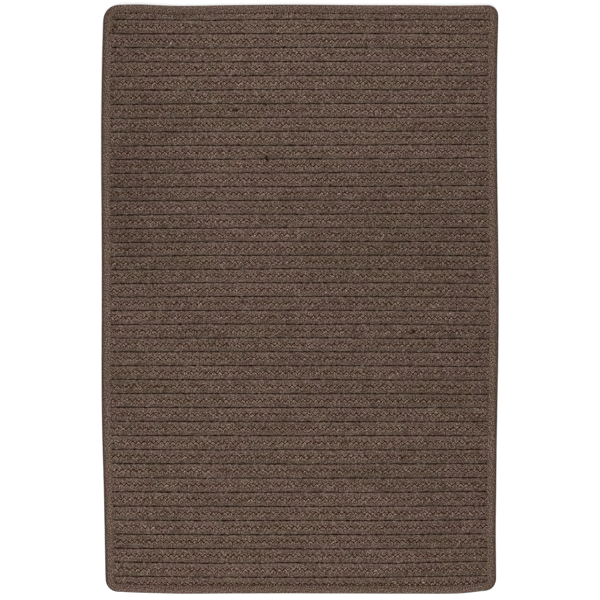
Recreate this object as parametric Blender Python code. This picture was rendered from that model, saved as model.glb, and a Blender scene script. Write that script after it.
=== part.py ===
"""A flat braided rug.

Forty-two lengths of flat braid lie side by side across the rug and are sewn edge to edge. A folded
tape wraps the edge all round and presses the cut ends of the braids between its two legs. Every piece
is worked out on a neat rectangle first, and then moved to where it lies on the real, uneven rug.
"""

import math
from collections import namedtuple

import bmesh
import bpy

MM = 0.001

# The rug lies on z = 0 with its middle over the origin: X across the short way, Y the long way.
WIDTH = 616 * MM
LENGTH = 914 * MM
THICKNESS = 10 * MM
HALF_WIDTH = WIDTH / 2
HALF_LENGTH = LENGTH / 2
MIDDLE = THICKNESS / 2

# The radii of the corners, anticlockwise from the one at +X and +Y. No two were sewn alike.
CORNER_RADII = (17.5 * MM, 25 * MM, 22 * MM, 22 * MM)
CORNER_SIGNS = ((1, 1), (-1, 1), (-1, -1), (1, -1))

# Room between neighbouring pieces.
GAP = 0.3 * MM

# The tape: how far its legs reach in from the edge, and how thick it is.
TAPE_REACH = 14.4 * MM
TAPE_THICKNESS = 1.6 * MM
TAPE_ROUND = MIDDLE
TAPE_LIP_DROP = 0.3 * MM
TAPE_CREST = 10 * MM
ROUND_STEPS = 3
INNER_ROUND_STEPS = 2
CORNER_STEPS = 6
SIDE_STEPS = 12
END_STEPS = 18

# The braids, counted from +Y. A seam is the line between two of them.
BRAIDS = 42
FIRST_SEAM = 433.1 * MM
LAST_SEAM = -430.8 * MM
# The seams crowd and spread a little: three waves over the rug's length.
SEAM_DRIFTS = (2.3 * MM, -1.8 * MM, -0.5 * MM)
SEAM_WANDER = 0.35 * MM
WANDER_WAVE = 290 * MM
WANDER_TURN = 2.4

# Depths in from the rug's edge: a braid's cut end, the end of its pressed stretch, and where it is
# at its full thickness again. The outer edge of the first and last braid lies deeper in the fold.
CUT_DEPTH = 5.5 * MM
PRESSED_DEPTH = TAPE_REACH + 0.9 * MM
FREE_DEPTH = 20 * MM
FOLD_DEPTH = 3.4 * MM
LEAST_STEP = 4.5 * MM
# What the tape's legs leave of a braid's thickness.
PRESSED = 1 - 2 * (TAPE_THICKNESS + GAP) / THICKNESS
MIDDLE_STATIONS = (0.25, 0.5, 0.75)

# A braid's section: two rounded ribs, with a furrow where the strands cross. Fractions of its width
# and its thickness.
Cut = namedtuple("Cut", "across top under")
BRAID_SECTION = (
    Cut(0.00, 0.50, 0.50),
    Cut(0.07, 0.84, 0.16),
    Cut(0.20, 0.98, 0.00),
    Cut(0.36, 1.00, 0.00),
    Cut(0.50, 0.91, 0.08),
    Cut(0.64, 1.00, 0.00),
    Cut(0.80, 0.98, 0.00),
    Cut(0.93, 0.84, 0.16),
    Cut(1.00, 0.50, 0.50),
)
# The same for the first and last braid, from the rug's edge inwards: the outer rib is pressed flat.
EDGE_BRAID_SECTION = (
    Cut(0.00, 0.50, 0.50),
    Cut(0.14, 1.00, 0.00),
    Cut(0.36, 1.00, 0.00),
    Cut(0.57, 0.95, 0.05),
    Cut(0.68, 0.97, 0.03),
    Cut(0.78, 1.00, 0.00),
    Cut(0.86, 0.98, 0.00),
    Cut(0.94, 0.84, 0.16),
    Cut(1.00, 0.50, 0.50),
)

# How far the long sides draw in from the neat rectangle at each place along Y, and how far the seams
# rise or dip towards their two ends there, in millimetres.
Side = namedtuple("Side", "at left right left_rise right_rise")
SIDES = (
    Side(-457, 7.2, 3.7, 0.0, 0.0),
    Side(-374, 5.5, 4.5, 0.0, 0.2),
    Side(-281, 3.6, 3.6, 0.4, 0.4),
    Side(-188, 1.0, 2.5, 0.6, -0.4),
    Side(-95, 0.5, 0.7, -0.1, -1.8),
    Side(-2, 0.8, 0.0, -1.3, -1.8),
    Side(91, 0.7, 0.7, -2.3, -0.4),
    Side(184, 0.1, 2.1, -1.0, 2.4),
    Side(277, 0.0, 2.8, -1.7, 1.2),
    Side(370, 1.3, 2.2, -1.2, -0.2),
    Side(457, 3.8, 0.1, 0.0, 0.0),
)
# How far the two ends draw in at each place along X, in millimetres.
End = namedtuple("End", "at bottom top")
ENDS = (
    End(-308, 0.8, 0.0),
    End(-283, 2.9, 0.8),
    End(-262, 1.7, 0.0),
    End(-224, 0.6, 1.6),
    End(-185, 0.0, 2.6),
    End(-108, 0.3, 1.4),
    End(-15, 0.5, 0.6),
    End(86, 0.2, 1.4),
    End(187, 0.0, 1.7),
    End(241, 0.1, 2.3),
    End(264, 1.4, 1.8),
    End(285, 4.1, 1.7),
    End(308, 2.2, 1.1),
)
# The braids next to an end follow its shape, and those further in follow it less and less.
END_FADE = 9

# Edges sharper than this stay crisp.
SMOOTH_ANGLE = math.radians(50)

# Colours as linear red, green and blue, with the roughness.
YARN = ((0.125, 0.082, 0.064), 0.95)
TAPE = ((0.137, 0.093, 0.075), 0.9)


def mix(start, end, share):
    return start + (end - start) * share


def slope(rows, column, i):
    """The slope of a table's column at row i, from the rows on each side of it."""
    before, after = rows[max(i - 1, 0)], rows[min(i + 1, len(rows) - 1)]
    return (getattr(after, column) - getattr(before, column)) / (after.at - before.at)


def read(rows, column, place):
    """A smooth curve through a table's column, read at a place given in metres."""
    at = min(max(place / MM, rows[0].at), rows[-1].at)
    i = max(n for n in range(len(rows) - 1) if rows[n].at <= at)
    low, high = rows[i], rows[i + 1]
    span = high.at - low.at
    t = (at - low.at) / span
    rise = t * t * (3 - 2 * t)
    bend = t * (1 - t) * ((1 - t) * slope(rows, column, i) - t * slope(rows, column, i + 1))
    return (mix(getattr(low, column), getattr(high, column), rise) + bend * span) * MM


def as_laid(x, y):
    """Where a point of the neat rectangle lies on the uneven rug."""
    across = (x + HALF_WIDTH) / WIDTH
    along = (y + HALF_LENGTH) / LENGTH
    near_top = along**END_FADE
    near_bottom = (1 - along) ** END_FADE
    shift_x = mix(read(SIDES, "left", y), -read(SIDES, "right", y), across)
    rise = read(SIDES, "left_rise" if x < 0 else "right_rise", y) * (x / HALF_WIDTH) ** 2
    ends = near_bottom * read(ENDS, "bottom", x) - near_top * read(ENDS, "top", x)
    return x + shift_x, y + ends + rise * (1 - near_top - near_bottom)


def corner_radius(x, y):
    """The radius of the corner in this point's quarter of the rug."""
    return CORNER_RADII[CORNER_SIGNS.index((1 if x > 0 else -1, 1 if y > 0 else -1))]


def depth_of(x, y):
    """How far inside the neat rounded outline a point lies."""
    radius = corner_radius(x, y)
    over_x = abs(x) - (HALF_WIDTH - radius)
    over_y = abs(y) - (HALF_LENGTH - radius)
    outside = math.hypot(max(over_x, 0), max(over_y, 0))
    return radius - outside - min(max(over_x, over_y), 0)


def reach(side, y, depth):
    """How far in X, at y, the outline goes on this side once it is drawn in by this depth."""
    radius = corner_radius(side, y)
    over = max(abs(y) - (HALF_LENGTH - radius), 0)
    bend = max(radius - depth, 0)
    return HALF_WIDTH - max(radius, depth) + math.sqrt(max(bend**2 - over**2, 0))


def end_stations(side, y):
    """The X of the stations at one end of a braid, from its cut end inwards. The side is 1 or -1."""
    cut = reach(side, y, CUT_DEPTH)
    pressed = min(reach(side, y, PRESSED_DEPTH), cut - LEAST_STEP)
    free = min(reach(side, y, FREE_DEPTH), pressed - LEAST_STEP)
    return [side * cut, side * pressed, side * free]


def stations(y):
    """The X of each station of a braid at this y, from its left cut end to its right one."""
    left, right = end_stations(-1, y), end_stations(1, y)
    middles = [mix(left[-1], right[-1], share) for share in MIDDLE_STATIONS]
    return [*left, *middles, *reversed(right)]


def seam(number):
    """The Y of a seam. Seam 0 and seam BRAIDS are the outer edges of the outer braids."""
    if number == 0:
        return HALF_LENGTH - FOLD_DEPTH
    if number == BRAIDS:
        return FOLD_DEPTH - HALF_LENGTH
    share = (number - 1) / (BRAIDS - 2)
    drift = sum(size * math.sin(math.pi * (n + 1) * share) for n, size in enumerate(SEAM_DRIFTS))
    return mix(FIRST_SEAM, LAST_SEAM, share) + drift


def wander(number, x):
    """How far a seam strays from its line at x. The folded outer edges don't."""
    if number in (0, BRAIDS):
        return 0
    return SEAM_WANDER * math.sin(math.tau * x / WANDER_WAVE + WANDER_TURN * number)


def braid_point(braid, cut, station, height):
    """A point of a braid's skin, pressed thinner where the tape's legs hold it."""
    neat_y = mix(seam(braid) + GAP / 2, seam(braid - 1) - GAP / 2, cut.across)
    x = stations(neat_y)[station]
    y = neat_y + mix(wander(braid, x), wander(braid - 1, x), cut.across)
    free = (depth_of(x, neat_y) - PRESSED_DEPTH) / (FREE_DEPTH - PRESSED_DEPTH)
    thickness = THICKNESS * mix(PRESSED, 1, min(max(free, 0), 1))
    return *as_laid(x, y), MIDDLE + (height - 0.5) * thickness


def braid_rings(braid):
    """The braid's section at each station: along its top from -Y to +Y, and back along its underside."""
    section = BRAID_SECTION
    if braid == BRAIDS:
        section = EDGE_BRAID_SECTION
    if braid == 1:
        section = [cut._replace(across=1 - cut.across) for cut in reversed(EDGE_BRAID_SECTION)]
    rings = []
    for station in range(len(stations(0))):
        top = [braid_point(braid, cut, station, cut.top) for cut in section]
        under = [braid_point(braid, cut, station, cut.under) for cut in section[1:-1]]
        rings.append(top + under[::-1])
    return rings


def half_round(radius, steps):
    """(depth, height) round the fold of the tape, from its top leg to its lower one."""
    turns = [math.pi * (0.5 - n / (2 * steps)) for n in range(2 * steps + 1)]
    return [(TAPE_ROUND - radius * math.cos(a), MIDDLE + radius * math.sin(a)) for a in turns]


def tape_section():
    """(depth, height) of the folded tape: round its outer face, and back round its inner one."""
    outer = [(TAPE_REACH, THICKNESS - TAPE_LIP_DROP), (TAPE_CREST, THICKNESS)]
    outer += half_round(TAPE_ROUND, ROUND_STEPS)
    outer.append((TAPE_REACH, 0))
    inner = [(TAPE_REACH, THICKNESS - TAPE_THICKNESS)]
    inner += half_round(TAPE_ROUND - TAPE_THICKNESS, INNER_ROUND_STEPS)
    inner.append((TAPE_REACH, TAPE_THICKNESS))
    return outer + inner[::-1]


def corner_arc(quarter):
    """Points round one corner of the neat rectangle, each with its inward direction, anticlockwise."""
    radius = CORNER_RADII[quarter]
    sign_x, sign_y = CORNER_SIGNS[quarter]
    centre_x = sign_x * (HALF_WIDTH - radius)
    centre_y = sign_y * (HALF_LENGTH - radius)
    arc = []
    for step in range(CORNER_STEPS + 1):
        turn = math.pi / 2 * (quarter + step / CORNER_STEPS)
        out_x, out_y = math.cos(turn), math.sin(turn)
        arc.append((centre_x + radius * out_x, centre_y + radius * out_y, -out_x, -out_y))
    return arc


def outline():
    """Points round the whole neat rectangle, each with its inward direction, anticlockwise."""
    arcs = [corner_arc(quarter) for quarter in range(len(CORNER_RADII))]
    places = []
    for quarter, arc in enumerate(arcs):
        x, y, in_x, in_y = arc[-1]
        next_x, next_y = arcs[(quarter + 1) % len(arcs)][0][:2]
        steps = SIDE_STEPS if quarter % 2 else END_STEPS
        shares = [step / steps for step in range(1, steps)]
        places += arc
        places += [(mix(x, next_x, share), mix(y, next_y, share), in_x, in_y) for share in shares]
    return places


def tape_rings():
    """The tape's section at each place round the outline."""
    rings = []
    for x, y, in_x, in_y in outline():
        section = [(*as_laid(x + in_x * d, y + in_y * d), z) for d, z in tape_section()]
        rings.append(section)
    return rings


def skin(mesh, rings, closed):
    """Joins each ring of points to the next, and the last to the first if the skin is closed."""
    loops = [[mesh.verts.new(point) for point in ring] for ring in rings]
    nexts = loops[1:] + loops[:1] if closed else loops[1:]
    for here, there in zip(loops, nexts):
        for i, point in enumerate(here):
            mesh.faces.new((here[i - 1], point, there[i], there[i - 1]))
    return loops


def cap(mesh, loop):
    """Closes a braid's cut end with a ladder of faces between its top and its underside."""
    half = len(loop) // 2
    top, under = loop[: half + 1], [loop[0], *loop[:half - 1:-1]]
    for i in range(half):
        corners = dict.fromkeys((top[i], top[i + 1], under[i + 1], under[i]))
        mesh.faces.new(list(corners))


def new_piece(name, rings, material, closed=False):
    """A solid piece over its rings, with its origin in its own middle on the floor."""
    mesh = bmesh.new()
    loops = skin(mesh, rings, closed)
    if not closed:
        cap(mesh, loops[0])
        cap(mesh, loops[-1])
    bmesh.ops.recalc_face_normals(mesh, faces=mesh.faces)
    middle_y = sum(point.co.y for point in mesh.verts) / len(mesh.verts)
    bmesh.ops.translate(mesh, verts=mesh.verts, vec=(0, -middle_y, 0))
    data = bpy.data.meshes.new(name)
    mesh.to_mesh(data)
    mesh.free()
    data.materials.append(material)
    data.shade_smooth()
    data.set_sharp_from_angle(angle=SMOOTH_ANGLE)
    piece = bpy.data.objects.new(name, data)
    piece.location = (0, middle_y, 0)
    bpy.context.collection.objects.link(piece)
    return piece


def new_material(name, look):
    """A matt fibre in one colour."""
    material = bpy.data.materials.new(name)
    material.use_nodes = True
    shader = material.node_tree.nodes["Principled BSDF"]
    colour, roughness = look
    shader.inputs["Base Color"].default_value = (*colour, 1)
    shader.inputs["Roughness"].default_value = roughness
    shader.inputs["Metallic"].default_value = 0
    return material


def main():
    for thing in list(bpy.data.objects):
        bpy.data.objects.remove(thing)
    rug = bpy.data.objects.new("rug", None)
    bpy.context.collection.objects.link(rug)
    for braid in range(1, BRAIDS + 1):
        yarn = new_material(f"yarn_{braid:02d}", YARN)
        new_piece(f"braid_{braid:02d}", braid_rings(braid), yarn).parent = rug
    new_piece("binding", tape_rings(), new_material("tape", TAPE), closed=True).parent = rug


main()
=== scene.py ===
# %% [markdown]
# # A braided rug
# This lesson dresses a plain model of a flat rug in yarn. The plain model is the frame: 42 lengths
# of braid, side by side, and a folded tape round their edge. The yarn could be modelled on its own
# and fitted by eye afterwards. But the frame is right in every size, so each new piece reads its
# place from it, and fits from the start.

# %% Load the frame
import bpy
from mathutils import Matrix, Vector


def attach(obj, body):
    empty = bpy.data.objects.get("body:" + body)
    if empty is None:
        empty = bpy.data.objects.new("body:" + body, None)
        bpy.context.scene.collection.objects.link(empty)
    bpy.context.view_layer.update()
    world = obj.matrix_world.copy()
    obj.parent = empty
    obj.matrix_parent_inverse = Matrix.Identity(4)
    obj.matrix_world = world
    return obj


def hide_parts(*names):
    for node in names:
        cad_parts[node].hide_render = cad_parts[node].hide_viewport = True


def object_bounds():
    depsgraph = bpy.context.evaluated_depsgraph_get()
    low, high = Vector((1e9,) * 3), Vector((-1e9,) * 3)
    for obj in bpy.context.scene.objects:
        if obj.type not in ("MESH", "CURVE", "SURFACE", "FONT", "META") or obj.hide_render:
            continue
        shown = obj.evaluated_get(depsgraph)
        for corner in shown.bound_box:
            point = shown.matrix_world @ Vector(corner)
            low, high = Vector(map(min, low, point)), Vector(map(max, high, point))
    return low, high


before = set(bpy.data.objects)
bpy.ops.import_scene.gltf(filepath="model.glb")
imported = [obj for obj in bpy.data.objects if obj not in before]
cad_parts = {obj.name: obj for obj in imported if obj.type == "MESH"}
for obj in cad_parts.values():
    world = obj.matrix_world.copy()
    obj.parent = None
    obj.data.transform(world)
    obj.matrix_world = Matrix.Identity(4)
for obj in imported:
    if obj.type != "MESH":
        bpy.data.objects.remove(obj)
cad_box = [list(corner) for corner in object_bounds()]

import math

import bpy
import numpy as np

MM = 0.001
BRAIDS = sorted(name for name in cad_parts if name.startswith("braid_"))
FLOOR_Z, TOP_Z = cad_box[0][2], cad_box[1][2]
MIDDLE_Z = (FLOOR_Z + TOP_Z) / 2
HALF_THICKNESS = (TOP_Z - FLOOR_Z) / 2
print(f"{len(BRAIDS)} braids, {1000 * (TOP_Z - FLOOR_Z):.1f} mm thick")

# %% [markdown]
# ## Where each braid lies
# A braid on a real rug isn't straight: it bends with its neighbours, and its width changes a little.
# A box round it would say how long and how wide it is, but not how it bends. The frame's solid of
# each braid has that shape, with nine stations along it. Its two long edges are the points at half
# its height, so they can be picked out by their height alone. Whatever is plaited later is drawn
# on a straight strip first, where it is easy, and then bent between these two rails.

# %% Read the rails of a braid
# Corners that agree to this many decimals of a metre are one corner.
DECIMALS = 6
# How far from half the height a corner may lie and still count as being there.
HEIGHT_SLACK = 0.05 * MM


def corners_of(node):
    """The separate corners of a frame node's mesh, as rows of x, y and z."""
    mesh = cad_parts[node].data
    points = np.empty(len(mesh.vertices) * 3)
    mesh.vertices.foreach_get("co", points)
    return np.unique(points.reshape(-1, 3).round(DECIMALS), axis=0)


def half_height(points):
    """The corners that lie half-way up, as rows of x and y."""
    return points[abs(points[:, 2] - MIDDLE_Z) < HEIGHT_SLACK, :2]


def rails_of(node):
    """The -Y edge and the +Y edge of a braid, each sorted along X."""
    edges = half_height(corners_of(node))
    is_high = edges[:, 1] > edges[:, 1].mean()
    return [side[side[:, 0].argsort()] for side in (edges[~is_high], edges[is_high])]


rails = {name: rails_of(name) for name in BRAIDS}
widths = [high[:, 1].mean() - low[:, 1].mean() for low, high in rails.values()]
print(f"braids are {1000 * np.mean(widths):.1f} mm wide on average")

# %% [markdown]
# ## The rug's outline
# The rug's edge runs nearly straight along four sides and round four corners. It could be typed in
# again as four lengths and a radius, but the tape's solid already holds it, unevenness included.
# That solid has two rings of corners at half its height, one outside and one inside the fold.
# Seen from the rug's middle, each outer corner and its inner one lie in nearly the same direction, so
# sorting by direction puts them in pairs. A smooth curve through the outer ones is the outline, with
# a point every 2 mm. Each of its points keeps the direction that leads inwards, so the depth of any
# place on the rug, which is how far in from the edge it lies, is then easy to measure.

# %% Trace the outline
OUTLINE_STEP = 2 * MM


def eased(share):
    """A share from 0 to 1 that starts and ends gently."""
    return share * share * (3 - 2 * share)


def outer_ring():
    """The outer corners of the tape's solid at half its height, anticlockwise."""
    points = half_height(corners_of("binding"))
    points = points[np.argsort(np.arctan2(points[:, 1], points[:, 0]))]
    pairs = points.reshape(-1, 2, 2)
    outermost = np.linalg.norm(pairs, axis=2).argmax(axis=1)
    return pairs[np.arange(len(pairs)), outermost]


def smooth_loop(points, step):
    """A smooth closed curve through the points, with a place about every step."""
    ahead = np.roll(points, -1, axis=0)
    gaps = np.linalg.norm(ahead - points, axis=1)[:, None]
    slopes = (ahead - points) / gaps
    gaps_before, slopes_before = np.roll(gaps, 1, axis=0), np.roll(slopes, 1, axis=0)
    tangents = (slopes * gaps + slopes_before * gaps_before) / (gaps + gaps_before)
    places = []
    for i, gap in enumerate(gaps[:, 0]):
        j = (i + 1) % len(points)
        for t in np.arange(round(gap / step)) / round(gap / step):
            rise = eased(t)
            lean = t * (1 - t) * ((1 - t) * tangents[i] - t * tangents[j]) * gap
            places.append(points[i] * (1 - rise) + points[j] * rise + lean)
    return np.array(places)


def depth_of(points):
    """How far in from the rug's edge each point lies, and the direction that leads inwards there."""
    away = points[:, None, :] - outline[None, :, :]
    nearest = (away**2).sum(axis=2).argmin(axis=1)
    directions = inward[nearest]
    return (away[np.arange(len(points)), nearest] * directions).sum(axis=1), directions


outline = smooth_loop(outer_ring(), OUTLINE_STEP)
along = np.roll(outline, -1, axis=0) - np.roll(outline, 1, axis=0)
along /= np.linalg.norm(along, axis=1)[:, None]
inward = np.column_stack([-along[:, 1], along[:, 0]])
print(f"outline of {len(outline)} points, {len(outline) * OUTLINE_STEP:.2f} m round")

# %% [markdown]
# ## How the braid is plaited
# Five strands make each braid. A strand starts at one edge, crosses on top to the middle, dives under
# the strand that comes from the other side, and goes on below to the other edge. There it turns up
# round the edge and starts again. All five do this one after another, so the face shows two rows of
# slanting lobes that meet in a zigzag, and the back shows the same. One turn of this dance takes five
# lobes' length, which is what sets the slant. The path could be drawn by hand as a curve, but five
# strands that pass so closely would soon run through each other. Two waves keep them apart: the
# sideways one is a triangle with soft corners, and the up-and-down one is twice as fast, with steep
# sides. A small lift keeps a strand on top a little longer, most of all at the edges, where it
# is then full and round.

# %% Draw one strand's path
STRANDS = 5
LOBE = 8.87 * MM
TURN_LENGTH = STRANDS * LOBE
NEAT_WIDTH = 21.3 * MM
STRAND_WIDTH = 8.2 * MM
STRAND_HEIGHT = 4.6 * MM
# How far a path swings to each side and up and down, and how far to +Y of the middle it crosses over.
SIDEWAYS = 10.6 * MM
UPWARDS = (TOP_Z - FLOOR_Z - STRAND_HEIGHT) / 2
OFF_CENTRE = 0.4 * MM
# How sharp the sideways wave's corners are, where 1 is a point, and how steeply a strand dives.
SHARPNESS = 0.985
STEEPNESS = 6.0
# The lift that keeps a strand on top a little longer: everywhere, and what the edges add to it.
TOP_SHARE = 0.05
EDGE_SHARE = 0.6
# Where points lie in each half of a turn: closer together at the edge and at the dive.
HALF_TURN = np.array([0.0, 0.02, 0.125, 0.23, 0.25, 0.27, 0.375, 0.44])


def turns_between(first, last):
    """The share of a turn at each point of a path that runs from first to last, in turns."""
    halves = np.arange(math.floor(2 * first), math.ceil(2 * last) + 1) / 2
    turns = (halves[:, None] + HALF_TURN[None, :]).ravel()
    return turns[(turns >= first) & (turns <= last)]


def sideways(turns):
    """From +1 at the +Y edge to -1 at the -Y edge, and back, once in a turn."""
    wave = SHARPNESS * np.cos(math.tau * turns)
    return np.arcsin(wave) / math.asin(SHARPNESS)


def upwards(turns):
    """From +1 on top to -1 below, and back, twice in a turn."""
    lift = TOP_SHARE + EDGE_SHARE * sideways(turns) ** 2
    return np.tanh(STEEPNESS * (np.sin(2 * math.tau * turns) + lift)) / math.tanh(STEEPNESS)


print(f"one turn takes {1000 * TURN_LENGTH:.1f} mm, and rises {1000 * UPWARDS:.1f} mm from the middle")

# %% [markdown]
# ## Round yarn from a path
# A strand is a soft bundle, wider than it is high, and flattened where it lies on another. A curve
# object with a bevel would make such a tube, but all its rings would be alike. So each ring is set
# out here: eight points, spread over the path's own sideways and upward directions. That is enough
# for a lobe that is repeated thousands of times, because smooth shading rounds it off. Each corner of
# a face keeps two numbers for the pattern: how far along the strand it lies, in metres, and how far
# round it.

# %% Wrap a path in rings
# The ring's points, as shares of half the strand's width and half its height.
SECTION = np.array([
    (1, -0.75), (1, 0.75), (0.88, 0.97), (-0.88, 0.97),
    (-1, 0.75), (-1, -0.75), (-0.88, -0.97), (0.88, -0.97),
])
RING = len(SECTION)
IS_UPPER = SECTION[:, 1] > 0


def directions_of(path):
    """The level sideways direction and the upward one at each point of a path."""
    ahead = np.gradient(path, axis=0)
    ahead /= np.linalg.norm(ahead, axis=1)[:, None]
    side = np.column_stack([-ahead[:, 1], ahead[:, 0], np.zeros(len(path))])
    side /= np.linalg.norm(side, axis=1)[:, None]
    return side, np.cross(ahead, side)


def rings_round(path, half_widths, half_heights):
    """Eight points round each point of a path: an array of path point, ring point and x, y, z."""
    side, up = directions_of(path)
    across = SECTION[None, :, :1] * half_widths[:, None, None] * side[:, None, :]
    above = SECTION[None, :, 1:] * half_heights[:, None, None] * up[:, None, :]
    return path[:, None, :] + across + above


def tube_faces(count, start):
    """The quads of a tube of this many rings, and its two end caps, as lists of point numbers."""
    ring = np.arange(RING)
    after = (ring + 1) % RING
    first = start + RING * np.arange(count - 1)[:, None]
    corners = [first + ring, first + RING + ring, first + RING + after, first + after]
    quads = np.stack(corners, axis=2).reshape(-1, 4)
    last = start + RING * (count - 1)
    caps = [list(start + ring), list(last + ring[::-1])]
    return quads.tolist(), caps


def tube_pattern(lengths):
    """The pattern numbers of a tube's quads and caps, corner by corner."""
    ring = np.arange(RING)
    u = np.stack([lengths[:-1], lengths[1:], lengths[1:], lengths[:-1]], axis=1)
    u = np.repeat(u, RING, axis=0)
    v = np.tile(np.stack([ring, ring, ring + 1, ring + 1], axis=1) / RING, (len(lengths) - 1, 1))
    quads = np.stack([u, v], axis=2).reshape(-1, 2)
    caps = [np.column_stack([np.full(RING, end), ring / RING]) for end in (lengths[0], lengths[-1])]
    return quads, np.concatenate(caps)


print(f"a tube of 3 rings has {len(tube_faces(3, 0)[0])} sides and 2 caps")

# %% [markdown]
# ## Hand-made unevenness
# No two lobes of a real braid are alike: one is fuller, the next lies higher or is a little paler,
# and the tension of the yarn drifts. A Displace modifier could shake all the points, but that would
# crumple the lobes. So each strand gets one random value for each half turn, which is one lobe,
# joined by straight lines. The numbers come from a seeded generator, so the rug is the same every
# time.

# %% Uneven lobes
# How much lobes differ in width and height, as shares, in their place upwards and sideways, and in
# brightness.
UNEVEN_WIDTH = 0.07
UNEVEN_HEIGHT = 0.05
UNEVEN_LIFT = 0.18 * MM
UNEVEN_PLACE = 0.35 * MM
UNEVEN_TONE = 0.07
# Each strand's grain starts somewhere on this many metres of yarn.
YARN_LENGTH = 5
SEED = 41
chance = np.random.default_rng(SEED)


def drift(turns, size):
    """A value that changes from lobe to lobe along a strand."""
    lobes = np.arange(math.floor(2 * turns[0]), math.ceil(2 * turns[-1]) + 2)
    return np.interp(2 * turns, lobes, chance.normal(0, size, len(lobes)))


print(f"lobes differ by {100 * UNEVEN_WIDTH:.0f}% in width and {1000 * UNEVEN_LIFT:.2f} mm in height")

# %% [markdown]
# ## Pressed and bent
# On the rug each strand is pressed by what lies round it: the floor, and the next braid, which
# flattens a lobe's outer end. The two legs of the tape press the ends of the braids, and the outer
# halves of the first and last one, to a bit over half their thickness, and they swell again within
# a few millimetres of its lip. A Lattice modifier could do the bending, but the pressing needs exact
# limits. So every point is moved by sums: it is kept above the floor and between the walls of its
# strip, bent between its rails, and its height over the middle is scaled by its depth.

# %% Bend a strand onto its rails
# How far in from the rug's edge the tape's lips lie.
TAPE_REACH = 14.4 * MM
# The share of a braid's thickness that the tape leaves it, up to which depth, and where it is free.
PRESSED = 0.62
PRESSED_DEPTH = TAPE_REACH - 1.5 * MM
FREE_DEPTH = TAPE_REACH + 2.5 * MM
# The fold takes up this depth at the rug's edge, so no yarn lies farther out.
FOLD_DEPTH = 3.4 * MM
# How far out a strip's walls stand, and how round their rims are.
WALL = NEAT_WIDTH / 2 + 0.15 * MM
WALL_ROUND = 1.3 * MM
# Points past these places may lie near the edge, so their depth is measured.
NEAR_SIDE, NEAR_END = 280 * MM, 425 * MM


def swelling(depths):
    """The share of its thickness that a braid has at each depth."""
    share = np.clip((depths - PRESSED_DEPTH) / (FREE_DEPTH - PRESSED_DEPTH), 0, 1)
    return PRESSED + (1 - PRESSED) * eased(share)


def press(points):
    """Keeps points above the floor and between the strip's walls, whose rims are rounded."""
    x, y, z = points.T
    rim = np.clip((abs(z) - HALF_THICKNESS + WALL_ROUND) / WALL_ROUND, 0, 1)
    wall = WALL - WALL_ROUND * (1 - np.sqrt(1 - rim**2))
    return np.column_stack([x, np.clip(y, -wall, wall), np.maximum(z, -HALF_THICKNESS)])


def bend(points, low, high):
    """Moves points from the straight strip to their place between two rails."""
    x, y, z = points.T
    low_y = np.interp(x, low[:, 0], low[:, 1])
    high_y = np.interp(x, high[:, 0], high[:, 1])
    y = (low_y + high_y) / 2 + y / NEAT_WIDTH * (high_y - low_y)
    places = np.column_stack([x, y])
    is_near = (abs(x) > NEAR_SIDE) | (abs(y) > NEAR_END)
    depths, directions = depth_of(places[is_near])
    push = np.maximum(FOLD_DEPTH - depths, 0)
    places[is_near] += directions * push[:, None]
    share = np.ones(len(x))
    share[is_near] = swelling(depths + push)
    return np.column_stack([places, MIDDLE_Z + z * share])


def strand_of(turns, turn_length, lag, low, high):
    """The points of one strand ring by ring, the lengths along it, and its places on the strip."""
    x = (turns - lag) * turn_length
    swing = sideways(turns)
    y = swing * (SIDEWAYS + drift(turns, UNEVEN_PLACE)) + OFF_CENTRE * (1 - swing * swing)
    z = upwards(turns) * (UPWARDS + drift(turns, UNEVEN_LIFT))
    path = np.column_stack([x, y, z])
    half_widths = STRAND_WIDTH / 2 * (1 + drift(turns, UNEVEN_WIDTH))
    half_heights = STRAND_HEIGHT / 2 * (1 + drift(turns, UNEVEN_HEIGHT))
    points = press(rings_round(path, half_widths, half_heights).reshape(-1, 3))
    steps = np.linalg.norm(np.diff(path, axis=0), axis=1)
    lengths = chance.uniform(0, YARN_LENGTH) + np.concatenate([[0], steps.cumsum()])
    tones = np.repeat(drift(turns, UNEVEN_TONE), RING)
    strip = np.column_stack([points[:, 0] * STRANDS / turn_length, points[:, 1] / MM, tones])
    return bend(points, low, high), lengths, strip


print(f"the tape presses the braids to {1000 * PRESSED * (TOP_Z - FLOOR_Z):.1f} mm")

# %% [markdown]
# ## From numbers to a mesh
# A strand could be modelled by hand, as a circle that is extruded and turned ring by ring. But 210
# strands of some 220 rings, no two alike, would take tens of thousands of such steps. So one
# function turns the rows of numbers of a braid's strands into one mesh: points, faces, the
# pattern's UV map, and three values on each point, which the material reads. They are the point's
# places along and across the straight strip, in lobes and in mm, and the tone of its lobe.

# %% Build a mesh of tubes
def new_piece(name, mesh):
    """An object for a finished mesh, at the origin."""
    piece = bpy.data.objects.new(name, mesh)
    bpy.context.scene.collection.objects.link(piece)
    return piece


def tubes_mesh(name, tubes):
    """A mesh of closed tubes, from the points, lengths and strip places of each."""
    quads, caps, quad_pattern, cap_pattern = [], [], [], []
    start = 0
    for points, lengths, strip in tubes:
        new_quads, new_caps = tube_faces(len(lengths), start)
        quads += new_quads
        caps += new_caps
        pattern, ends = tube_pattern(lengths)
        quad_pattern.append(pattern)
        cap_pattern.append(ends)
        start += len(points)
    points = np.concatenate([points for points, lengths, strip in tubes])
    strip = np.concatenate([strip for points, lengths, strip in tubes])
    mesh = bpy.data.meshes.new(name)
    mesh.from_pydata(points.tolist(), [], quads + caps)
    pattern = np.concatenate(quad_pattern + cap_pattern)
    mesh.uv_layers.new(name="yarn").data.foreach_set("uv", pattern.ravel())
    mesh.attributes.new("strip", "FLOAT_VECTOR", "POINT").data.foreach_set("vector", strip.ravel())
    mesh.shade_smooth()
    return mesh


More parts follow.
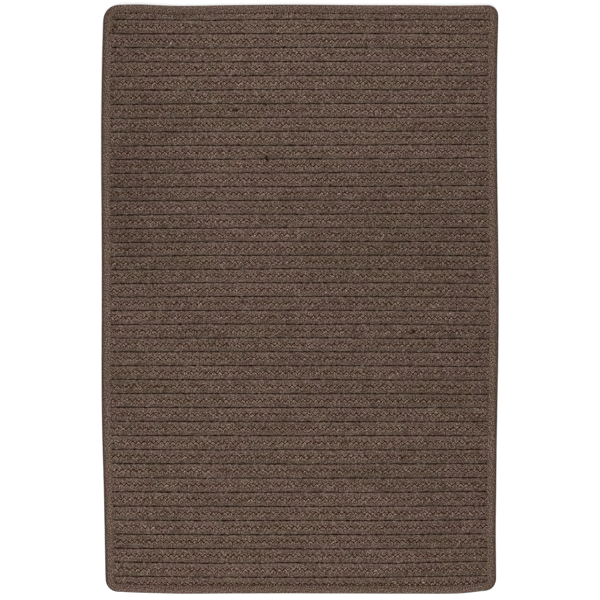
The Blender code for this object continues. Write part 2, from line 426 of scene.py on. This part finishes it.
# %% [markdown]
# ## Shader sums
# A finish is a web of nodes. It could be built node by node and link by link, but then the sums
# that it stands for are hard to see. So a Link wraps a node's output, and `1 - mask` or `a * b` adds
# the Math node for it. Every other node comes from one method, which sets the node's own settings
# first and then its sockets, from values or from links. Yarn has no gloss, so specular is off.

# %% A small class for shader sums
BUMP_STRENGTH = 0.8


class Link:
    """An output socket that takes part in sums."""

    def __init__(self, finish, socket):
        self.finish = finish
        self.socket = socket

    def __add__(self, other):
        return self.finish.math("ADD", self, other)

    def __sub__(self, other):
        return self.finish.math("SUBTRACT", self, other)

    def __rsub__(self, other):
        return self.finish.math("SUBTRACT", other, self)

    def __mul__(self, other):
        return self.finish.math("MULTIPLY", self, other)

    __radd__ = __add__
    __rmul__ = __mul__


class Finish:
    """A material whose nodes are added one expression at a time."""

    def __init__(self, name, roughness):
        self.material = bpy.data.materials.new(name)
        self.material.use_nodes = True
        self.tree = self.material.node_tree
        self.shader = self.tree.nodes["Principled BSDF"]
        self.shader.inputs["Roughness"].default_value = roughness
        self.shader.inputs["Specular IOR Level"].default_value = 0.0

    def plug(self, socket, value):
        """Gives a socket a link or a plain value."""
        if isinstance(value, Link):
            self.tree.links.new(value.socket, socket)
        else:
            socket.default_value = value

    def node(self, kind, settings=None, sockets=None, output=0):
        """Adds a node, and returns the link of one of its outputs."""
        node = self.tree.nodes.new(kind)
        for name, value in (settings or {}).items():
            setattr(node, name, value)
        for name, value in (sockets or {}).items():
            self.plug(node.inputs[name], value)
        return Link(self, node.outputs[output])

    def math(self, operation, first, second):
        """A Math node on two numbers."""
        return self.node("ShaderNodeMath", {"operation": operation}, {0: first, 1: second})

    def size(self, value):
        """A number without its sign."""
        return self.math("ABSOLUTE", value, 0.0)

    def to_and_fro(self, value, reach):
        """A number that goes from 0 to its reach and back, over and over, as a value grows."""
        return self.math("PINGPONG", value, reach)

    def split(self, vector, axes):
        """The numbers of a vector that belong to these axes."""
        return [self.node("ShaderNodeSeparateXYZ", None, {0: vector}, axis) for axis in axes]

    def pattern(self, uv_map):
        """The two numbers that a UV map gives: how far along a point lies, and how far round or across."""
        return self.split(self.node("ShaderNodeUVMap", {"uv_map": uv_map}), "XY")

    def noise(self, at, scale, detail, roughness=0.5):
        """Noise in space, with so many features in a metre."""
        sockets = {"Vector": at, "Scale": scale, "Detail": detail, "Roughness": roughness}
        return self.node("ShaderNodeTexNoise", None, sockets, "Fac")

    def flat_noise(self, x, y, scales, detail=0.0, roughness=0.6):
        """Noise on two lengths, with so many features in a metre of each."""
        at = self.node("ShaderNodeCombineXYZ", None, {0: x * scales[0], 1: y * scales[1]})
        sockets = {"Vector": at, "Scale": 1.0, "Detail": detail, "Roughness": roughness}
        return self.node("ShaderNodeTexNoise", {"noise_dimensions": "2D"}, sockets, "Fac")

    def between(self, value, low, high, to_low=0.0, to_high=1.0):
        """A smooth change from one number to another while a value goes from low to high."""
        sockets = {"Value": value, "From Min": low, "From Max": high, "To Min": to_low, "To Max": to_high}
        return self.node("ShaderNodeMapRange", {"interpolation_type": "SMOOTHSTEP"}, sockets)

    def blend(self, share, first, second):
        """Two colours mixed by a share."""
        settings = {"data_type": "RGBA"}
        return self.node("ShaderNodeMix", settings, {0: share, 6: first, 7: second}, 2)

    def shade(self, colour, brightness):
        """A colour made brighter or darker."""
        settings = {"operation": "SCALE"}
        return self.node("ShaderNodeVectorMath", settings, {0: colour, "Scale": brightness})

    def done(self, colour, grain, lift):
        """The material, with this colour and a surface that its grain lifts by up to this much."""
        self.plug(self.shader.inputs["Base Color"], colour)
        sockets = {"Height": grain, "Strength": BUMP_STRENGTH, "Distance": lift}
        self.plug(self.shader.inputs["Normal"], self.node("ShaderNodeBump", None, sockets))
        return self.material


print("a Finish adds nodes by its methods:", ", ".join(name for name in vars(Finish) if name[0] != "_"))

# %% [markdown]
# ## Heathered fibres
# The yarn is heathered: fibres of purple brown and olive brown were spun together, and the mixture
# changes in soft patches the size of a few lobes. Batches of yarn differ too, which shows as faint
# long bands. Close up it is a grain of pale and dark tufts, flecks and single fibres, with a few
# paler specks. One noise on Object coordinates could draw all of it, but its grain would run
# straight on where a strand turns. So only the patches and the batches read Object coordinates, and
# the grain reads lengths along and round each strand.

# %% Mix the fibres
PALE_PURPLE = (0.1575, 0.1045, 0.0850, 1)
DARK_PURPLE = (0.0460, 0.0205, 0.0135, 1)
PALE_OLIVE = (0.1530, 0.1090, 0.0805, 1)
DARK_OLIVE = (0.0440, 0.0225, 0.0115, 1)
SPECK_GREY = (0.2500, 0.2140, 0.1920, 1)
# How many batches of yarn there are in a metre of X and of Y, and how much they change the colour and
# the brightness.
BATCHES = (4.0, 25.0)
BATCH_COLOUR = 0.25
BATCH_GLOW = 0.25
# How many patches there are in a metre, how ragged they are, and between which values of their noise
# olive turns to purple.
PATCHES = 35.0
PATCH_DETAIL, PATCH_ROUGHNESS = 3.0, 0.6
OLIVE_END, PURPLE_START = 0.38, 0.62
# How many parts of the grain there are in a metre along and across the fibres.
TUFTS = (700.0, 1200.0)
FLECKS = (900.0, 850.0)
FIBRES = (600.0, 4200.0)
FIBRE_STRENGTH = 1.1
# The grain's value in the darkest and the palest fibres, and where a speck starts and is palest.
DARK_GRAIN, PALE_GRAIN = 0.84, 1.16
SPECK_START, SPECK_FULL = 1.22, 1.47
# A noise lies between 0 and 1. Without its middle, it goes as far below 0 as above it.
NOISE_MIDDLE = 0.5


def heather(finish, place, along, across):
    """The mixed colours of the fibres, and their grain, from two lengths in metres."""
    x, y = finish.split(place, "XY")
    batches = finish.flat_noise(x, y, BATCHES, detail=1.0) - NOISE_MIDDLE
    patches = finish.noise(place, PATCHES, PATCH_DETAIL, PATCH_ROUGHNESS) + batches * BATCH_COLOUR
    patches = finish.between(patches, OLIVE_END, PURPLE_START)
    pale = finish.blend(patches, PALE_OLIVE, PALE_PURPLE)
    dark = finish.blend(patches, DARK_OLIVE, DARK_PURPLE)
    fibres = finish.flat_noise(along, across, FIBRES, detail=2.0) - NOISE_MIDDLE
    grain = finish.flat_noise(along, across, TUFTS) + finish.flat_noise(along, across, FLECKS)
    grain = grain + fibres * FIBRE_STRENGTH
    colour = finish.blend(finish.between(grain, DARK_GRAIN, PALE_GRAIN), dark, pale)
    colour = finish.blend(finish.between(grain, SPECK_START, SPECK_FULL), colour, SPECK_GREY)
    return finish.shade(colour, batches * BATCH_GLOW + 1.0), grain


print(f"the finest fibres are {1000 / FIBRES[1]:.2f} mm wide")

# %% [markdown]
# ## Marks of use
# A few dark threads and smudges lie on the rug's upper face, and some pale specks of lint have
# settled there. Each could be a small mesh, but a stain has no thickness, and lint is no thicker
# than a fibre. So the finish holds them: a short table for each kind, with a soft round spot for
# each row.

# %% Place the marks
# Each row is x, y and radius in mm.
DARK_MARKS = [
    (-102, 292, 3.4), (-98, 293, 2.6), (-53, 300, 2.3), (71, 261, 2.3), (-52, 220, 2.6), (-51, 217, 2.6),
    (-50, 214, 2.6), (47, 176, 2.3), (-287, 421, 2.2), (-290, 416, 2.2), (-294, 411, 2.2),
    (176, -50, 3.6), (171, -53, 2.4), (191, -61, 2.8),
]
LINT = [
    (-200, 395, 1.4), (-87, 308, 0.9), (-115, 291, 0.9), (-83, 269, 1.0), (-95, 229, 1.0), (40, 10, 1.2),
    (214, -9, 1.2), (232, -22, 1.0), (205, -42, 0.9), (243, -53, 1.0), (161, -79, 1.0), (183, -81, 1.0),
    (230, -114, 0.9), (270, -400, 1.0),
]
LINT_GREY = (0.30, 0.26, 0.235, 1)
MARK_STRENGTH = 0.85
# A spot's even middle and its soft rim, as shares of its radius.
SPOT_MIDDLE, SPOT_RIM = 0.5, 1.3
# Height counts for less than x and y, so that a spot reaches into the weave but not to the underside.
HEIGHT_SHARE = 0.3


def spots(finish, place, table):
    """1 at the spots of a table, and 0 elsewhere."""
    shares = {0: place, 1: (1, 1, HEIGHT_SHARE)}
    flat = finish.node("ShaderNodeVectorMath", {"operation": "MULTIPLY"}, shares)
    mask = 0.0
    for x, y, radius in table:
        ends = {0: flat, 1: (x * MM, y * MM, HEIGHT_SHARE * TOP_Z)}
        away = finish.node("ShaderNodeVectorMath", {"operation": "DISTANCE"}, ends, "Value")
        spot = finish.between(away, SPOT_MIDDLE * radius * MM, SPOT_RIM * radius * MM, 1.0, 0.0)
        mask = finish.math("MAXIMUM", spot, mask)
    return mask


print(f"{len(DARK_MARKS)} dark marks and {len(LINT)} specks of lint")

# %% [markdown]
# ## The lines of the plait
# Painted shade draws each braid: a dark zigzag along its middle, where the lobes of its two rows dive
# under each other, and a dark groove at its edges. The lobes' rims beside the zigzag stand up and
# catch the light, which is painted as highlights. The mesh and the lamps alone could draw this shade
# and light, but eight points round a strand are too few for such narrow folds. So the finish paints
# them, from each point's place on the straight strip.

# %% Draw the lines of the plait
# The brown of the painted shade in the plait's lines, the deep yarn, the strands' sides and the tape's
# fold, and of the real dark marks and stitches.
SHADE_AND_STAIN_BROWN = (0.0140, 0.0036, 0.0012, 1)
# The zigzag: where its upper tips lie along a lobe, and how high they lie and how steep it is, in mm.
ZIGZAG_PEAK = 0.39
ZIGZAG_HIGH = 2.45
ZIGZAG_SLOPE = 8.6
# How far the line's painted shade reaches, from all dark to all light, how much more at its tips, and
# how it wanders, with so many bends in a metre.
ZIGZAG_DARK, ZIGZAG_LIGHT = 0.95, 1.3
ZIGZAG_TIPS = 1.2
ZIGZAG_WANDER = 0.3
ZIGZAG_BENDS = 170.0
# The painted highlights on the rims: their distance from the line, and how far they reach, in mm.
RIM_AWAY = 1.6
RIM_BRIGHT, RIM_END = 0.6, 1.35
# How bright the rims below and above the line are at its upper tips, and how fast the one below fades
# towards the lower tips, where the one above is brightest.
RIM_BELOW, RIM_ABOVE = 1.12, 0.1
RIM_FALL = 1.7
# The groove's painted shade: where it is all light and all dark, from the braid's middle, and how far
# it bites in between two lobes and wanders, in mm, with so many bends in a metre.
GROOVE_LIGHT, GROOVE_DARK = 11.15, 11.95
GROOVE_BITE = 1.0
GROOVE_WANDER = 2.4
GROOVE_BENDS = 240.0
# The wave runs from 0 at the zigzag's upper tips to half a lobe at its lower ones.
HALF_LOBE = 0.5


def zigzag(finish, place, wave, across):
    """How light the zigzag's painted shade leaves the yarn, and what its rims' painted highlights add."""
    above = across - (ZIGZAG_HIGH - wave * ZIGZAG_SLOPE)
    away = finish.size(above) + finish.noise(place, ZIGZAG_BENDS, detail=1.0) * ZIGZAG_WANDER
    away = away - finish.size(wave - HALF_LOBE / 2) * ZIGZAG_TIPS
    lower_rim = finish.between(finish.size(above + RIM_AWAY), RIM_BRIGHT, RIM_END, 1.0, 0.0)
    upper_rim = finish.between(finish.size(above - RIM_AWAY), RIM_BRIGHT, RIM_END, 1.0, 0.0)
    rims = lower_rim * (RIM_BELOW - wave * RIM_FALL) + upper_rim * (RIM_ABOVE + wave)
    return finish.between(away, ZIGZAG_DARK, ZIGZAG_LIGHT), rims


def groove(finish, place, wave, across):
    """How light the painted shade of the groove between two braids leaves the yarn."""
    from_middle = finish.size(across) + wave * GROOVE_BITE
    from_middle = from_middle + finish.noise(place, GROOVE_BENDS, detail=1.0) * GROOVE_WANDER
    return finish.between(from_middle, GROOVE_LIGHT, GROOVE_DARK, 1.0, 0.0)


print(f"the zigzag is {ZIGZAG_SLOPE / 2:.1f} mm high")

# %% [markdown]
# ## The yarn's finish
# The yarn is matt. Its finish paints shade deep between its strands and on their sides, a highlight
# towards each braid's +Y edge, and light that falls unevenly over the rug: it is paler at the far end,
# and darker along the right side and along the far half of the left side. A baked picture could hold
# such a pattern, but it would be tied to one size. Here a few sums on the place on the rug do it, and
# they stay sharp at any distance.

# %% Make the yarn's finish
MATT = 0.9
YARN_LIFT = 0.4 * MM
# The middle of a strand's upper face, as a share of the way round it. A side lies a quarter from there.
# Then at which shares the painted shade on a side starts and is full, and how dark it is.
CROWN = 2.5 / RING
QUARTER = 0.25
SHADE_START, SHADE_FULL = 0.05, 0.12
SIDE_SHADE = 0.1
# How far from the rug's middle height the yarn's painted shade is darkest and is gone, and the light
# left in the dark.
DEEP, SHALLOW = 0.5 * MM, 3.0 * MM
DEEP_LIGHT = 0.2
# How far it is round a strand, and how far its fibres wind round it for each metre of its length.
STRAND_ROUND = 21 * MM
TWIST = 0.35
# The brightness of the yarn, and the painted highlight added towards a braid's +Y edge, between these
# mm from the braid's middle.
GLOW = 0.778
EDGE_PAINTED_LIGHT = 0.22
EDGE_START, EDGE_FULL = 4.5, 9.5
# The painted light and painted shade added in some parts of the rug, and where on Y or X each change
# starts and ends.
FAR_PAINTED_LIGHT = 0.08
FAR_START, FAR_FULL = 50 * MM, 400 * MM
RIGHT_PAINTED_SHADE = -0.06
RIGHT_START, RIGHT_FULL = 0.0, 300 * MM
LEFT_PAINTED_SHADE = -0.12
LEFT_FULL, LEFT_END = -300 * MM, -130 * MM
LEFT_START_Y, LEFT_FULL_Y = -50 * MM, 150 * MM


def uneven_painted_light(finish, x, y):
    """How much painted light and shade change the brightness from one part of the rug to another."""
    far = finish.between(y, FAR_START, FAR_FULL, 0.0, FAR_PAINTED_LIGHT)
    right = finish.between(x, RIGHT_START, RIGHT_FULL, 0.0, RIGHT_PAINTED_SHADE)
    left = finish.between(x, LEFT_FULL, LEFT_END, LEFT_PAINTED_SHADE, 0.0)
    return far + right + left * finish.between(y, LEFT_START_Y, LEFT_FULL_Y)


def yarn_finish():
    """The heathered yarn of all the braids."""
    finish = Finish("heathered_yarn", MATT)
    place = finish.node("ShaderNodeTexCoord", output="Object")
    x, y, z = finish.split(place, "XYZ")
    lengthwise, around = finish.pattern("yarn")
    strip = finish.node("ShaderNodeAttribute", {"attribute_name": "strip"}, output="Vector")
    along, across, tone = finish.split(strip, "XYZ")
    colour, grain = heather(finish, place, lengthwise, around * STRAND_ROUND + lengthwise * TWIST)
    wave = finish.to_and_fro(along - ZIGZAG_PEAK, HALF_LOBE)
    line, rims = zigzag(finish, place, wave, across)
    from_crown = finish.to_and_fro(around - CROWN, QUARTER)
    side = finish.between(from_crown, SHADE_START, SHADE_FULL, 1.0, 1.0 - SIDE_SHADE)
    depth = finish.between(finish.size(z - MIDDLE_Z), DEEP, SHALLOW, DEEP_LIGHT, 1.0)
    marks = 1.0 - spots(finish, place, DARK_MARKS) * MARK_STRENGTH
    # Painted shade: the zigzag, the groove, the strands' sides and the deep yarn. The dark marks are real
    # stains.
    light = line * groove(finish, place, wave, across) * side * depth * marks
    # A painted highlight towards the braid's +Y edge.
    edge = finish.between(across, EDGE_START, EDGE_FULL, 0.0, EDGE_PAINTED_LIGHT)
    # The lobes' tone and the yarn's brightness, with painted highlights on the rims and the +Y edge, and
    # painted light and shade over the rug.
    glow = tone + GLOW + rims + uneven_painted_light(finish, x, y) + edge
    colour = finish.blend(light, SHADE_AND_STAIN_BROWN, finish.shade(colour, glow))
    colour = finish.blend(spots(finish, place, LINT), colour, LINT_GREY)
    return finish.done(colour, grain, YARN_LIFT)


yarn = yarn_finish()
print(f"the yarn's finish has {len(yarn.node_tree.nodes)} nodes")

# %% [markdown]
# ## Plait the braids
# Each braid takes five strands, each a fifth of a turn behind the one before. One braid could be
# plaited and copied 42 times, but then the same lobes would stand in columns all over the rug. So
# each is plaited anew: none starts at the same point of its turn as its neighbour, and each is a
# little tighter or looser.

# %% Plait all the braids
# How much a braid may be tighter or looser than another, as a share of its turn.
TIGHTNESS = 0.012


def plait(name, node):
    """One braid of five strands, in the place of its frame node."""
    low, high = rails[node]
    left = min(low[0, 0], high[0, 0])
    right = max(low[-1, 0], high[-1, 0])
    turn_length = TURN_LENGTH * (1 + chance.normal(0, TIGHTNESS))
    start_turn = chance.uniform(0, 1)
    tubes = []
    for strand in range(STRANDS):
        lag = start_turn + strand / STRANDS
        turns = turns_between(left / turn_length + lag, right / turn_length + lag)
        points, lengths, strip = strand_of(turns, turn_length, lag, low, high)
        strip[:, 0] += STRANDS * start_turn
        # The lobes below slant the other way, so their places along the strip are counted backwards.
        strip[np.tile(~IS_UPPER, len(lengths)), 0] *= -1
        tubes.append((points, lengths, strip))
    piece = new_piece(name, tubes_mesh(name, tubes))
    piece.data.materials.append(yarn)
    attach(piece, "root")
    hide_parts(node)
    return piece


plaits = [plait(node.replace("braid", "plait"), node) for node in BRAIDS]
faces = sum(len(piece.data.polygons) for piece in plaits)
print(f"{len(plaits)} plaited pieces, {faces} faces")

# %% [markdown]
# ## Lace the braids together
# A dark thread runs in the seam between two braids, a little below each face, and holds them edge to
# edge. On the real rug it goes back and forth from one braid to the other. Each stitch could be
# modelled, but the lobes hide them: what shows is a dark line. So each seam has one straight thread
# under each face, made by the same rings as a strand. Without it the floor would show through. Its
# brown is darker than the yarn's, partly the thread's own colour and partly painted shade of the
# deep seam.

# %% Lay the laces
# How far apart a lace's points lie, its radius, and how far it lies from the rug's middle height.
LACE_STEP = 6 * MM
LACE_RADIUS = 0.95 * MM
LACE_RISE = 2.3 * MM
# The lace's brown is partly the thread's own colour and partly painted shade of the deep seam.
LACE_SHADE_BROWN = (0.015, 0.006, 0.003)
LACE_ROUGHNESS = 0.95
LACE_LIFT = 0.2 * MM
# How many dark and light plies there are in a metre, and once round, the values of their noise, and
# the brightness of each.
PLIES = (500.0, 4.0)
PLY_DARK, PLY_LIGHT = 0.35, 0.65
PLY_DARK_GLOW, PLY_LIGHT_GLOW = 0.4, 1.6


def lace_of(low, high, side):
    """One lace along a braid's -Y edge, above the rug's middle for side 1 and below it for side -1."""
    x = np.arange(max(low[0, 0], high[0, 0]), min(low[-1, 0], high[-1, 0]), LACE_STEP)
    rise = LACE_RISE + chance.normal(0, UNEVEN_LIFT, len(x))
    path = np.column_stack([x, np.full(len(x), -WALL), side * rise])
    radii = np.full(len(x), LACE_RADIUS)
    points = rings_round(path, radii, radii).reshape(-1, 3)
    return bend(points, low, high), x, points * 0


def lace_finish():
    """The dark thread of the laces, its brown partly painted shade of the seam."""
    finish = Finish("lacing_thread", LACE_ROUGHNESS)
    lengthwise, around = finish.pattern("yarn")
    plies = finish.flat_noise(lengthwise, around, PLIES, detail=2.0)
    glow = finish.between(plies, PLY_DARK, PLY_LIGHT, PLY_DARK_GLOW, PLY_LIGHT_GLOW)
    return finish.done(finish.shade(LACE_SHADE_BROWN, glow), plies, LACE_LIFT)


laces = [lace_of(*rails[node], side) for node in BRAIDS[:-1] for side in (1, -1)]
lacing = new_piece("lacing", tubes_mesh("lacing", laces))
lacing.data.materials.append(lace_finish())
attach(lacing, "root")
print(f"{len(laces)} laces, {len(lacing.data.polygons)} faces")

# %% [markdown]
# ## The folded tape
# The tape is a strip of fine fabric folded in half over the rug's edge, with a leg on each face. A
# straight strip could be bent round by a Curve modifier, but it would pinch at the corners. So it
# is drawn as a thin sheet where its outer face lies: a short line of places across the fold,
# repeated at each point of the outline. A Solidify modifier then gives it its thickness, which
# fades towards its two lips, so that they lie close on the yarn.

# %% Fold the tape round the edge
# The tape's thickness in its fold and at its lips, and how far its lips sink from its highest place.
TAPE_THICKNESS = 1.6 * MM
LIP_THICKNESS = 0.6 * MM
LIP_DROP = 0.8 * MM
# How far in the fold is round, and how full its shoulders are: 1 makes it an oval, and less is fuller.
FOLD_REACH = 9 * MM
FOLD_SHOULDERS = 0.8
# How many steps draw the round and the flat part of a leg.
FOLD_STEPS = 5
FLAT_STEPS = 4


def tape_line():
    """(depth, height, thickness) at places across the tape, from its top lip to its lower lip."""
    turns = math.pi / 2 * np.arange(FOLD_STEPS + 1) / FOLD_STEPS
    fold_depths = FOLD_REACH * (1 - np.cos(turns))
    fold_heights = HALF_THICKNESS * np.sin(turns) ** FOLD_SHOULDERS
    share = np.arange(1, FLAT_STEPS + 1) / FLAT_STEPS
    flat_depths = FOLD_REACH + (TAPE_REACH - FOLD_REACH) * share
    flat_heights = HALF_THICKNESS - LIP_DROP * share**2
    depths = np.concatenate([fold_depths, flat_depths])
    heights = np.concatenate([fold_heights, flat_heights])
    thicknesses = np.interp(depths, [FOLD_REACH, TAPE_REACH], [TAPE_THICKNESS, LIP_THICKNESS])
    top = np.column_stack([depths, MIDDLE_Z + heights, thicknesses])[::-1]
    low = np.column_stack([depths, MIDDLE_Z - heights, thicknesses])[1:]
    return np.concatenate([top, low])


def tape_mesh(name):
    """The tape as an open sheet whose outer face is the tape's outer face."""
    line = tape_line()
    count, across = len(outline), len(line)
    places = outline[:, None, :] + inward[:, None, :] * line[None, :, 0, None]
    heights = np.broadcast_to(line[None, :, 1, None], (count, across, 1))
    points = np.concatenate([places, heights], axis=2).reshape(-1, 3)
    here = across * np.arange(count)[:, None] + np.arange(across - 1)[None, :]
    ahead = across * ((np.arange(count) + 1) % count)[:, None] + np.arange(across - 1)[None, :]
    quads = np.stack([here, here + 1, ahead + 1, ahead], axis=2).reshape(-1, 4)
    mesh = bpy.data.meshes.new(name)
    mesh.from_pydata(points.tolist(), [], quads.tolist())
    lengths = np.arange(count + 1) * OUTLINE_STEP
    widths = np.concatenate([[0], np.linalg.norm(np.diff(line[:, :2], axis=0), axis=1).cumsum()])
    u = np.stack([lengths[:-1], lengths[:-1], lengths[1:], lengths[1:]], axis=1)
    v = np.stack([widths[:-1], widths[1:], widths[1:], widths[:-1]], axis=1)
    pattern = np.stack([np.repeat(u, across - 1, axis=0), np.tile(v, (count, 1))], axis=2)
    mesh.uv_layers.new(name="weave").data.foreach_set("uv", pattern.ravel())
    mesh.shade_smooth()
    return mesh, widths[-1]


def apply_modifier(piece, kind, **settings):
    """Adds a modifier to a piece and applies it."""
    bpy.ops.object.select_all(action="DESELECT")
    piece.select_set(True)
    bpy.context.view_layer.objects.active = piece
    modifier = piece.modifiers.new(kind.title(), kind)
    for name, value in settings.items():
        setattr(modifier, name, value)
    bpy.ops.object.modifier_apply(modifier=modifier.name)


mesh, tape_width = tape_mesh("edge_tape")
tape = new_piece("edge_tape", mesh)
fullness = tape.vertex_groups.new(name="fullness")
line = tape_line()
for i, thickness in enumerate(line[:, 2]):
    fullness.add(list(range(i, len(mesh.vertices), len(line))), thickness / TAPE_THICKNESS, "REPLACE")
apply_modifier(tape, "SOLIDIFY", thickness=TAPE_THICKNESS, offset=-1.0, vertex_group="fullness")
print(f"tape {1000 * tape_width:.1f} mm wide, {len(tape.data.polygons)} faces")

# %% [markdown]
# ## The tape's finish
# The tape is a finer fabric of the same browns. Its threads cross at a slant, which shows as a grain
# of short diagonal strokes, so the fibres' noise is turned here. Its fold gets painted shade towards
# its outer edge along the two sides. At the two ends it gets a painted highlight there, and painted
# shade towards its lip, where a dashed line of dark stitches follows the lip, together with the
# painted shadow of the gap at the lip. The stitches could be modelled, but they lie flush in the
# fabric, so a narrow mask draws them and that shadow.

# %% Make the tape's finish
# The threads' slant: how much of each direction along and across the tape they take.
SLANT_ALONG, SLANT_ACROSS = 0.6, 0.3
# Where a side starts, away from the middle, and where the stitches at the ends start.
SIDE_START, SIDE_FULL = 275 * MM, 300 * MM
STITCH_START, STITCH_FULL = 425 * MM, 437 * MM
# How far from its lip a side turns dark with painted shade, and the light that is left at its outer edge.
FOLD_SHADE_START, FOLD_SHADE_FULL = 7 * MM, 14 * MM
FOLD_SHADE_LIGHT = 0.5
# How far from its lip an end turns light with a painted highlight, and the painted light at its lip and
# at its outer edge.
FOLD_LIT_START, FOLD_LIT_FULL = 5 * MM, 13 * MM
LIP_LIGHT, FOLD_LIT_LIGHT = 0.8, 1.15
# How many stitches there are in a metre, along and across, the values of their noise between two of
# them and in one, how far from the lip they are whole and end, and how dark they are. Their mask
# paints the stitches and, with them, the shadow of the gap at the lip.
STITCHES = (180.0, 30.0)
STITCH_GAP, STITCH_CORE = 0.4, 0.52
STITCH_WHOLE, STITCH_END = 0.8 * MM, 1.8 * MM
STITCH_AND_SHADOW_STRENGTH = 0.8
TAPE_GLOW = 0.925
TAPE_LIFT = 0.5 * MM


def tape_finish():
    """The fabric of the tape, with painted shade and light on its fold."""
    finish = Finish("tape_fabric", MATT)
    place = finish.node("ShaderNodeTexCoord", output="Object")
    lengthwise, over = finish.pattern("weave")
    along = over * SLANT_ALONG + lengthwise * SLANT_ACROSS
    across = lengthwise * SLANT_ALONG - over * SLANT_ACROSS
    colour, grain = heather(finish, place, along, across)
    from_lip = tape_width / 2 - finish.size(over - tape_width / 2)
    x, y = [finish.size(value) for value in finish.split(place, "XY")]
    at_side = finish.between(x, SIDE_START, SIDE_FULL)
    painted_side_shade = finish.between(from_lip, FOLD_SHADE_START, FOLD_SHADE_FULL, 1.0, FOLD_SHADE_LIGHT)
    painted_end_light = finish.between(from_lip, FOLD_LIT_START, FOLD_LIT_FULL, LIP_LIGHT, FOLD_LIT_LIGHT)
    light = painted_side_shade * at_side + painted_end_light * (1.0 - at_side)
    stitches = finish.flat_noise(lengthwise, over, STITCHES, detail=1.0)
    stitches = finish.between(stitches, STITCH_GAP, STITCH_CORE)
    stitches = stitches * finish.between(from_lip, STITCH_WHOLE, STITCH_END, 1.0, 0.0)
    stitches = stitches * finish.between(y, STITCH_START, STITCH_FULL)
    # The dark stitches, with painted shadow of the gap at the lip.
    light = light * (1.0 - stitches * STITCH_AND_SHADOW_STRENGTH)
    light = light * (1.0 - spots(finish, place, DARK_MARKS) * MARK_STRENGTH)
    colour = finish.blend(light, SHADE_AND_STAIN_BROWN, finish.shade(colour, TAPE_GLOW))
    return finish.done(colour, grain, TAPE_LIFT)


tape.data.materials.append(tape_finish())
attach(tape, "root")
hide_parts("binding")
print(f"about {STITCHES[0]:.0f} stitches in a metre of tape at the rug's two ends")

# %% [markdown]
# ## The floor
# The rug lies on a plain pale floor. A box would do as well as a plane, but only the top would show.
# The plane lies a hair below the rug, so that no face of the yarn coincides with it.

# %% Lay the floor
FLOOR_SIZE = 12
FLOOR_GAP = 0.2 * MM
FLOOR_WHITE = (0.93, 0.93, 0.93, 1)
bpy.ops.mesh.primitive_plane_add(size=FLOOR_SIZE, location=(0, 0, FLOOR_Z - FLOOR_GAP))
floor = bpy.context.active_object
floor.name = "floor"
floor_finish = bpy.data.materials.new("pale_floor")
floor_finish.use_nodes = True
floor_shader = floor_finish.node_tree.nodes["Principled BSDF"]
floor_shader.inputs["Base Color"].default_value = FLOOR_WHITE
floor_shader.inputs["Roughness"].default_value = MATT
floor.data.materials.append(floor_finish)
print(f"the floor is {FLOOR_SIZE} m wide")

# %% [markdown]
# ## The lights
# The rug is lit softly and almost evenly. One lamp over it could do that, but it would flatten the
# lobes. So a broad lamp stands low beyond each end, the far one stronger, which gives the lobes a
# bright side and a dark one. A smaller lamp hangs steeply above the near end, and a white sky fills
# the shadows.

# %% Hang the lights
# Each row is a name, a place, a size in metres and a power in watts.
LIGHTS = [
    ("far_light", (0.2, 2.4, 1.9), 2.0, 80),
    ("near_light", (0.3, -2.4, 1.9), 2.0, 50),
    ("high_light", (-0.25, -0.7, 1.5), 1.2, 16),
]
SKY_WHITE = (1, 1, 1, 1)
SKY_STRENGTH = 0.35


def soft_light(name, place, size, watts):
    """A square lamp at a place, facing the rug's middle."""
    bpy.ops.object.light_add(type="AREA", location=place)
    lamp = bpy.context.active_object
    lamp.name = name
    lamp.data.shape = "SQUARE"
    lamp.data.size = size
    lamp.data.energy = watts
    lamp.rotation_euler = (-lamp.location).to_track_quat("-Z", "Y").to_euler()


for row in LIGHTS:
    soft_light(*row)
world = bpy.data.worlds.new("studio")
bpy.context.scene.world = world
world.use_nodes = True
world.node_tree.nodes["Background"].inputs["Color"].default_value = SKY_WHITE
world.node_tree.nodes["Background"].inputs["Strength"].default_value = SKY_STRENGTH
bpy.context.scene.view_settings.view_transform = "Standard"
print(f"{len(LIGHTS)} lamps of {sum(row[3] for row in LIGHTS)} W in all")

# %% [markdown]
# ## The camera
# The camera looks straight down. An orthographic one would show no slant at all, but a long lens from
# far off is closer to how a flat rug is photographed. Its height follows from the lens and from the
# width that the picture takes in at the rug's middle height.

# %% Place the camera
# How much of the rug's plane the picture takes in, and where its middle lies.
VIEW_WIDTH = 930 * MM
VIEW_X, VIEW_Y = 0.1 * MM, -1.6 * MM
LENS = 110.0
bpy.ops.object.camera_add()
camera = bpy.context.active_object
camera.data.lens = LENS
camera.location = (VIEW_X, VIEW_Y, MIDDLE_Z + VIEW_WIDTH * LENS / camera.data.sensor_width)
bpy.context.scene.camera = camera
print(f"the camera is {camera.location.z:.2f} m up")

# %% [markdown]
# ## Sizes, and the end
# The dressed rug should fill the frame's box and hardly stand out of it. It could be measured by eye
# in a render, but two boxes would say it exactly.
